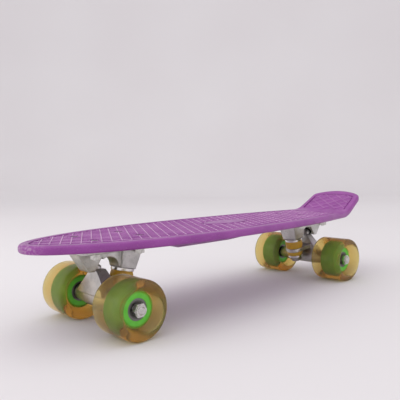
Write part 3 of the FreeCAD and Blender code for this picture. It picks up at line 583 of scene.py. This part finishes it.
def cast_aluminium():
    finish = Finish("cast_aluminium", Metallic=1.0)
    tarnish = finish.ramp(finish.noise(70, 4), (0.35, 0.0), (0.7, 1.0))
    colour = finish.mix(tarnish, (0.64, 0.63, 0.61), (0.46, 0.455, 0.44))
    pits = finish.ramp(finish.noise(700, 3), (0.60, 0.0), (0.74, 0.7))
    finish.paint("Base Color", finish.mix(pits, colour, (0.24, 0.235, 0.225)))
    finish.paint("Roughness", finish.ramp(finish.noise(160, 4), (0.3, 0.30), (0.7, 0.46)))
    finish.relief(finish.math("ADD", finish.noise(1100, 3), finish.noise(260, 2)), 0.00022)
    return finish.material


casting_metal = cast_aluminium()


def soft_edged(node, name, material):
    """A copy of a CAD node with its edges softened as casting leaves them."""
    made = linked_object(name, frame["nodes"][node].data.copy())
    made.data.materials.clear()
    remesh = made.modifiers.new("even_skin", "REMESH")
    remesh.mode, remesh.voxel_size = "VOXEL", CAST_VOXEL
    smooth = made.modifiers.new("soft_edges", "SMOOTH")
    smooth.factor, smooth.iterations = 0.5, CAST_SMOOTHING
    thin = made.modifiers.new("thinned", "DECIMATE")
    thin.ratio = CAST_THINNING
    shaped = bpy.data.meshes.new_from_object(made.evaluated_get(bpy.context.evaluated_depsgraph_get()))
    made.modifiers.clear()
    made.data = shaped
    shaped.name = name
    shaped.materials.clear()
    shaped.materials.append(material)
    shaped.shade_smooth()
    return made


for end in ENDS:
    for piece, body in (("_baseplate", "board"), ("_hanger", end + "_truck")):
        casting = soft_edged(end + piece, end + piece + "_casting", casting_metal)
        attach(casting, body)
        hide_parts(end + piece)

# ---------------------------------------------------------------- kingpin stack
# A hardened kingpin bolt and lock nut squeeze two amber urethane bushings through pressed, plated
# cup washers; the pivot cup in the baseplate is black rubber.

bright_plate = plated_steel("bright_plated_washers", (0.74, 0.73, 0.71), 0.18, 0.3)
dark_steel = plated_steel("hardened_kingpin_steel", (0.42, 0.41, 0.40), 0.35, 0.6)
dress([end + piece for end in ENDS for piece in ("_upper_cup_washer", "_lower_cup_washer")], bright_plate)
dress([end + piece for end in ENDS for piece in ("_kingpin", "_kingpin_nut")], dark_steel)


def cast_urethane(name, colour, pale, transmission, roughness, dust, bend=1.45, murk=0):
    """Poured urethane: clear amber, clouded in patches and dusted; murk is how fast light dies
    in it, per metre."""
    finish = Finish(name, Transmission_Weight=transmission, IOR=bend, Specular_IOR_Level=0.3)
    if murk:
        haze = finish.node("VolumeAbsorption", Color=(0.80, 0.56, 0.05, 1), Density=murk)
        finish.tree.links.new(haze.outputs[0], finish.tree.nodes["Material Output"].inputs["Volume"])
    clouds = finish.ramp(finish.noise(55, 4), (0.35, 0.0), (0.72, 1.0))
    dusted = finish.ramp(finish.noise(1300, 3), (0.60, 0.0), (0.78, dust))
    finish.paint("Base Color", finish.mix(dusted, finish.mix(clouds, colour, pale), (0.62, 0.55, 0.38)))
    finish.paint("Roughness", finish.ramp(finish.noise(140, 4), (0.3, roughness), (0.75, roughness * 1.7)))
    finish.relief(finish.noise(160, 2), 0.00004)
    return finish.material


bushing_amber = cast_urethane("amber_bushing_urethane", (0.74, 0.42, 0.03), (0.80, 0.52, 0.07), 0.35, 0.28,
                             0.35)
dress([end + piece for end in ENDS for piece in ("_upper_bushing", "_lower_bushing")], bushing_amber)


def black_rubber():
    finish = Finish("black_cup_rubber", Specular_IOR_Level=0.3)
    finish.paint("Base Color", finish.ramp(finish.noise(500, 3), (0.3, 0.012), (0.75, 0.035)))
    finish.paint("Roughness", finish.ramp(finish.noise(300, 3), (0.3, 0.55), (0.7, 0.75)))
    finish.relief(finish.noise(1500, 2), 0.00005)
    return finish.material


dress([end + "_pivot_cup" for end in ENDS], black_rubber())

# ---------------------------------------------------------------- axles and their fasteners
# Ground steel axles are cast into the hangers; outside them stand thin speed washers and the
# axle nuts, and inside the wheels the spacers and bearing inner rings.

ground_steel = plated_steel("ground_bearing_steel", (0.62, 0.61, 0.59), 0.22, 0.35, 700)
nut_plate = plated_steel("plated_axle_nuts", (0.66, 0.65, 0.63), 0.22, 0.45)
dress([end + "_axle_nuts" for end in ENDS], nut_plate)
dress([end + piece for end in ENDS
       for piece in ("_axle", "_speed_washers", "_bearing_spacers", "_bearing_inner_rings")], ground_steel)

# ---------------------------------------------------------------- wheels
# Each wheel is clear amber urethane poured round an opaque green core, dished on both faces.
# The core carries two ball bearings with pressed steel shields.

SIDES = ("left", "right")
TURN_STEPS = 128
WHEEL_SHARP = math.radians(35)


def round_profile(corners, steps=8):
    """A turned section whose corners are (radius, along, rounding)."""
    line = []
    for index, (radius, along, rounding) in enumerate(corners):
        here = np.array((radius, along), float)
        if not rounding:
            line.append(here)
            continue
        before = np.array(corners[index - 1][:2], float)
        after = np.array(corners[(index + 1) % len(corners)][:2], float)
        back = here + (before - here) * rounding / np.linalg.norm(before - here)
        on = here + (after - here) * rounding / np.linalg.norm(after - here)
        line += list(eased_corner(back, here, on, steps))
    return line


def turned_piece(name, section, middle, material):
    """A closed section turned about the axle line."""
    mesh = bmesh.new()
    rings = []
    for step in range(TURN_STEPS):
        turn = 2 * math.pi * step / TURN_STEPS
        rings.append([mesh.verts.new((middle.x + radius * MM * math.cos(turn), middle.y + along * MM,
                                      middle.z + radius * MM * math.sin(turn)))
                      for radius, along in section])
    join_rings(mesh, rings, closed=True)
    bmesh.ops.recalc_face_normals(mesh, faces=mesh.faces)
    data = bpy.data.meshes.new(name)
    mesh.to_mesh(data)
    mesh.free()
    data.materials.append(material)
    data.shade_smooth()
    data.set_sharp_from_angle(angle=WHEEL_SHARP)
    return linked_object(name, data)


wheel_amber = cast_urethane("amber_wheel_urethane", (0.86, 0.76, 0.34), (0.90, 0.83, 0.46), 0.90, 0.16,
                            0.08, 1.2, 60)


def core_plastic():
    finish = Finish("green_core_plastic", Specular_IOR_Level=0.4)
    mottling = finish.ramp(finish.noise(120, 3), (0.3, 0.0), (0.7, 1.0))
    finish.paint("Base Color", finish.mix(mottling, (0.10, 0.54, 0.04), (0.17, 0.63, 0.07)))
    finish.paint("Roughness", finish.ramp(finish.noise(300, 3), (0.3, 0.35), (0.7, 0.55)))
    finish.relief(finish.noise(1200, 2), 0.00005)
    return finish.material


core_green = core_plastic()
TYRE_SECTION = round_profile((
    (19.8, 10.6, 0), (19.8, -10.6, 0), (16, -12.5, 0.6), (23.3, -22.5, 2.1), (30, -22.5, 4.5),
    (30, 22.5, 4.5), (23.3, 22.5, 2.1), (16, 12.5, 0.6)))
CORE_SECTION = round_profile((
    (11.0, 12.5, 0.4), (16.05, 12.5, 0.3), (20, 10.5, 0.8), (20, -10.5, 0.8), (16.05, -12.5, 0.3),
    (11.0, -12.5, 0.4), (11.0, -5, 0), (9.6, -5, 0), (9.6, 5, 0), (11.0, 5, 0)), 4)

for end in ENDS:
    for side in SIDES:
        wheel = end + "_" + side + "_"
        low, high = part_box(wheel + "tyre")
        hub = (low + high) / 2
        for piece, section, material, finish_slot in (
                ("tyre", TYRE_SECTION, wheel_amber, "wheel_urethane"),
                ("core", CORE_SECTION, core_green, "core_plastic")):
            made = turned_piece(wheel + piece + "_moulding", section, hub, material)
            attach(made, wheel + "wheel")
            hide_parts(wheel + piece)


def cage_plastic():
    finish = Finish("bearing_cage_nylon", Specular_IOR_Level=0.4)
    finish.paint("Base Color", finish.ramp(finish.noise(900, 3), (0.3, (0.05, 0.05, 0.055)),
                                           (0.7, (0.09, 0.09, 0.1))))
    finish.paint("Roughness", finish.ramp(finish.noise(500, 2), (0.3, 0.45), (0.7, 0.6)))
    return finish.material


shield_plate = plated_steel("pressed_bearing_shields", (0.11, 0.108, 0.105), 0.34, 0.4, 900)
# The outer rings' dark colour is painted shade, standing in for the shadowed gap round each bearing.
dark_ring = plated_steel("shade_darkened_bearing_rings", (0.20, 0.195, 0.19), 0.30, 0.4, 900)
wheels = [end + "_" + side for end in ENDS for side in SIDES]
dress([wheel + "_bearing_outer_rings" for wheel in wheels], dark_ring)
dress([wheel + "_bearing_balls" for wheel in wheels], ground_steel)
dress([wheel + "_bearing_shields" for wheel in wheels], shield_plate)
dress([wheel + "_bearing_cages" for wheel in wheels], cage_plastic())

# ---------------------------------------------------------------- studio
# A pale seamless paper sweep stands behind the board.  It is lit by the room, which is brightest
# low down, by a broad soft light overhead and by a weaker one from the left of the view.

SWEEP_WIDTH, SWEEP_FRONT, SWEEP_FLOOR, SWEEP_RISE, SWEEP_BEND = 9.0, 2.5, 2.2, 3.4, 1.2
sweep = bmesh.new()
away = Vector((-0.675, -0.738, 0))
across = Vector((-0.738, 0.675, 0))
profile = [(-SWEEP_FRONT, 0), (SWEEP_FLOOR, 0)]
profile += [(SWEEP_FLOOR + SWEEP_BEND * math.sin(turn), SWEEP_BEND * (1 - math.cos(turn)))
            for turn in np.linspace(0, math.pi / 2, 24)[1:]]
profile.append((SWEEP_FLOOR + SWEEP_BEND, SWEEP_RISE))
rows = [[sweep.verts.new(away * back + across * side * SWEEP_WIDTH / 2 + Vector((0, 0, up)))
         for side in (-1, 1)] for back, up in profile]
for here, there in zip(rows, rows[1:]):
    sweep.faces.new((here[0], here[1], there[1], there[0]))
paper = bpy.data.meshes.new("paper_sweep")
sweep.to_mesh(paper)
sweep.free()
paper.shade_smooth()
backdrop = linked_object("paper_sweep", paper)
paper_finish = Finish("pale_paper", Roughness=0.9, Specular_IOR_Level=0.1)
paper_finish.paint("Base Color", paper_finish.ramp(paper_finish.noise(1.5, 1), (0.3, (0.78, 0.765, 0.775)),
                                                   (0.7, (0.80, 0.79, 0.80))))
paper.materials.append(paper_finish.material)


def soft_light(name, place, aim, width, height, watts, colour):
    lamp = bpy.data.lights.new(name, "AREA")
    lamp.shape, lamp.size, lamp.size_y = "RECTANGLE", width, height
    lamp.energy, lamp.color = watts, colour
    made = linked_object(name, lamp)
    made.location = place
    made.rotation_euler = (Vector(aim) - Vector(place)).to_track_quat("-Z", "Y").to_euler()


soft_light("overhead_softbox", (0.15, -0.1, 2.1), (0, 0, 0), 2.4, 2.2, 11, (1.0, 0.985, 0.99))
soft_light("left_softbox", (1.5, -0.9, 1.0), (0, 0, 0.05), 1.2, 0.9, 6, (1.0, 0.98, 0.98))

world = bpy.data.worlds.new("studio_air")
world.use_nodes = True
air = world.node_tree
heading = air.nodes.new("ShaderNodeTexCoord")
height = air.nodes.new("ShaderNodeSeparateXYZ")
brightness = air.nodes.new("ShaderNodeValToRGB")
ROOM_LIGHT = ((0.0, (1.0, 0.96, 0.985, 1)), (0.55, (0.80, 0.77, 0.79, 1)))
for stop, (position, colour) in zip(brightness.color_ramp.elements, ROOM_LIGHT):
    stop.position, stop.color = position, colour
air.links.new(heading.outputs["Generated"], height.inputs[0])
air.links.new(height.outputs["Z"], brightness.inputs["Fac"])
air.links.new(brightness.outputs["Color"], air.nodes["Background"].inputs["Color"])
air.nodes["Background"].inputs["Strength"].default_value = 1.0
bpy.context.scene.world = world
bpy.context.scene.view_settings.view_transform = "Standard"

# ---------------------------------------------------------------- camera
# A low three-quarter view from ahead of the nose, on the board's left side, tipped a degree
# about the line of sight.

YAW, PITCH, ROLL = math.radians(-132.45), math.radians(-3.46), math.radians(-1.0)
ahead = Vector((math.cos(PITCH) * math.cos(YAW), math.cos(PITCH) * math.sin(YAW), math.sin(PITCH)))
right = Vector((math.sin(YAW), -math.cos(YAW), 0))
upward = right.cross(ahead)
lens_right = math.cos(ROLL) * right + math.sin(ROLL) * upward
lens_up = math.cos(ROLL) * upward - math.sin(ROLL) * right
camera = bpy.data.cameras.new("camera")
camera.lens, camera.sensor_width, camera.clip_start = 45.26, 36, 0.01
viewer = linked_object("camera", camera)
turned = Matrix((lens_right, lens_up, -ahead)).transposed()
viewer.matrix_world = Matrix.Translation((0.4541, 0.4573, 0.1625)) @ turned.to_4x4()
bpy.context.scene.camera = viewer
